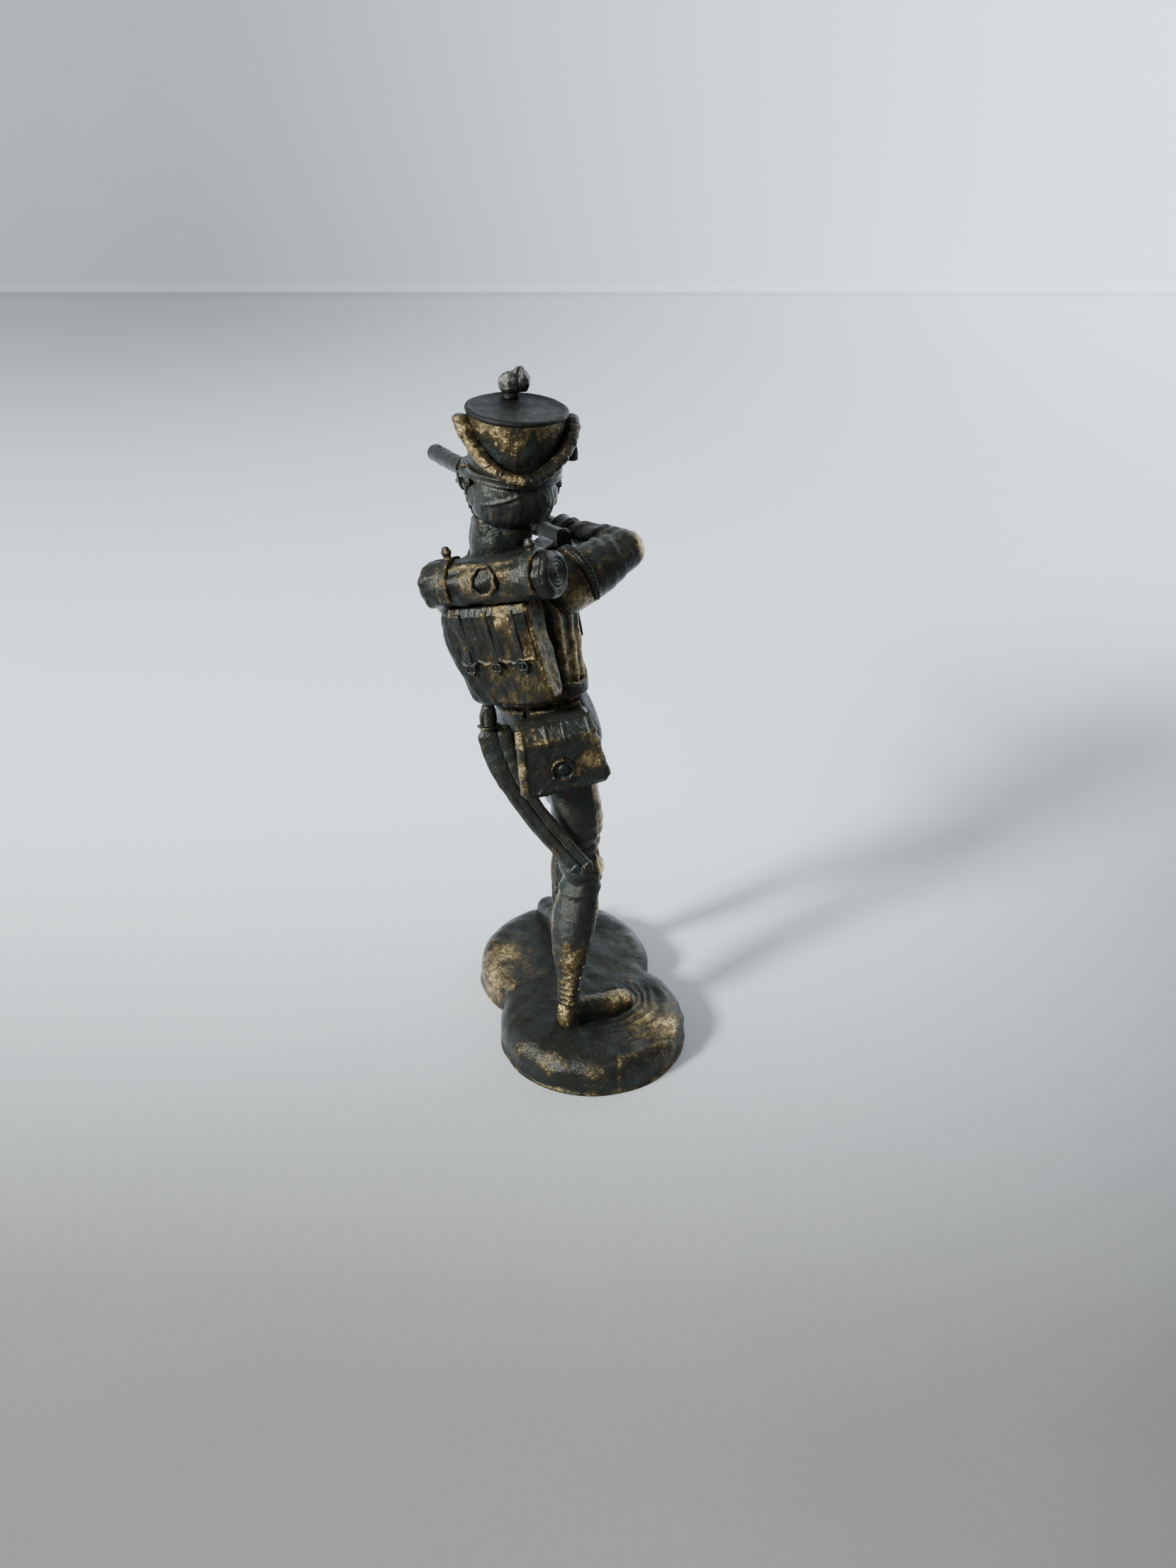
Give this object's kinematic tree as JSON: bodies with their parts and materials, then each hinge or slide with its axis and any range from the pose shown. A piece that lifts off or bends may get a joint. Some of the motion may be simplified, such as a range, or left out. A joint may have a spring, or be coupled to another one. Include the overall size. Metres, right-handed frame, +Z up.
{
  "type": "toy soldier figure",
  "caption": "Small cast metal infantryman in a shako with knapsack, rolled coat, pouch and side arms, aiming a musket, standing on a lobed ground mound.",
  "frame": {"origin": "middle of the flat underside of the mound, where it rests on a table", "axes": "+Z up through the figure; he stands facing -Y with his left at +X and aims the musket towards -Y"},
  "size_m": [0.0158, 0.0331, 0.043],
  "materials": {
    "dark_metal": "cast metal with a dark green-black patina, slightly glossy",
    "worn_metal": "same cast metal rubbed back to dull brass on raised parts",
    "ground_metal": "cast ground with dark patina and blotches of rubbed brass",
    "bright_metal": "rubbed bright, silvery grey"
  },
  "bodies": {
    "root": {"base": "ground_metal", "right_shoe": "worn_metal", "left_shoe": "worn_metal", "right_gaiter": "dark_metal", "left_gaiter": "dark_metal", "right_leg": "dark_metal", "left_leg": "dark_metal", "seat": "dark_metal", "coat": "dark_metal", "left_tail": "dark_metal", "right_tail": "dark_metal", "collar": "dark_metal", "head": "dark_metal", "shako_body": "dark_metal", "shako_lid": "dark_metal", "shako_band": "dark_metal", "shako_peak": "dark_metal", "shako_cord": "worn_metal", "shako_tassels": "worn_metal", "front_plate": "worn_metal", "pompon": "bright_metal", "chin_scales": "worn_metal", "knapsack": "dark_metal", "knapsack_flap": "dark_metal", "knapsack_straps": "worn_metal", "pouch_belt": "worn_metal", "sabre_belt": "worn_metal", "shoulder_straps": "worn_metal", "coat_roll": "dark_metal", "roll_straps": "worn_metal", "roll_buckle": "worn_metal", "cartridge_pouch": "dark_metal", "pouch_flap": "dark_metal", "pouch_badge": "worn_metal", "sabre_scabbard": "dark_metal", "bayonet_scabbard": "dark_metal", "sabre_hilt": "worn_metal", "musket_stock": "dark_metal", "butt_plate": "worn_metal", "musket_barrel": "dark_metal", "barrel_bands": "worn_metal", "musket_lock": "worn_metal", "trigger_guard": "worn_metal", "right_arm": "dark_metal", "left_arm": "dark_metal", "right_cuff": "worn_metal", "left_cuff": "worn_metal", "right_hand": "worn_metal", "left_hand": "worn_metal", "right_wing": "worn_metal", "left_wing": "worn_metal"}
  },
  "joints": []
}
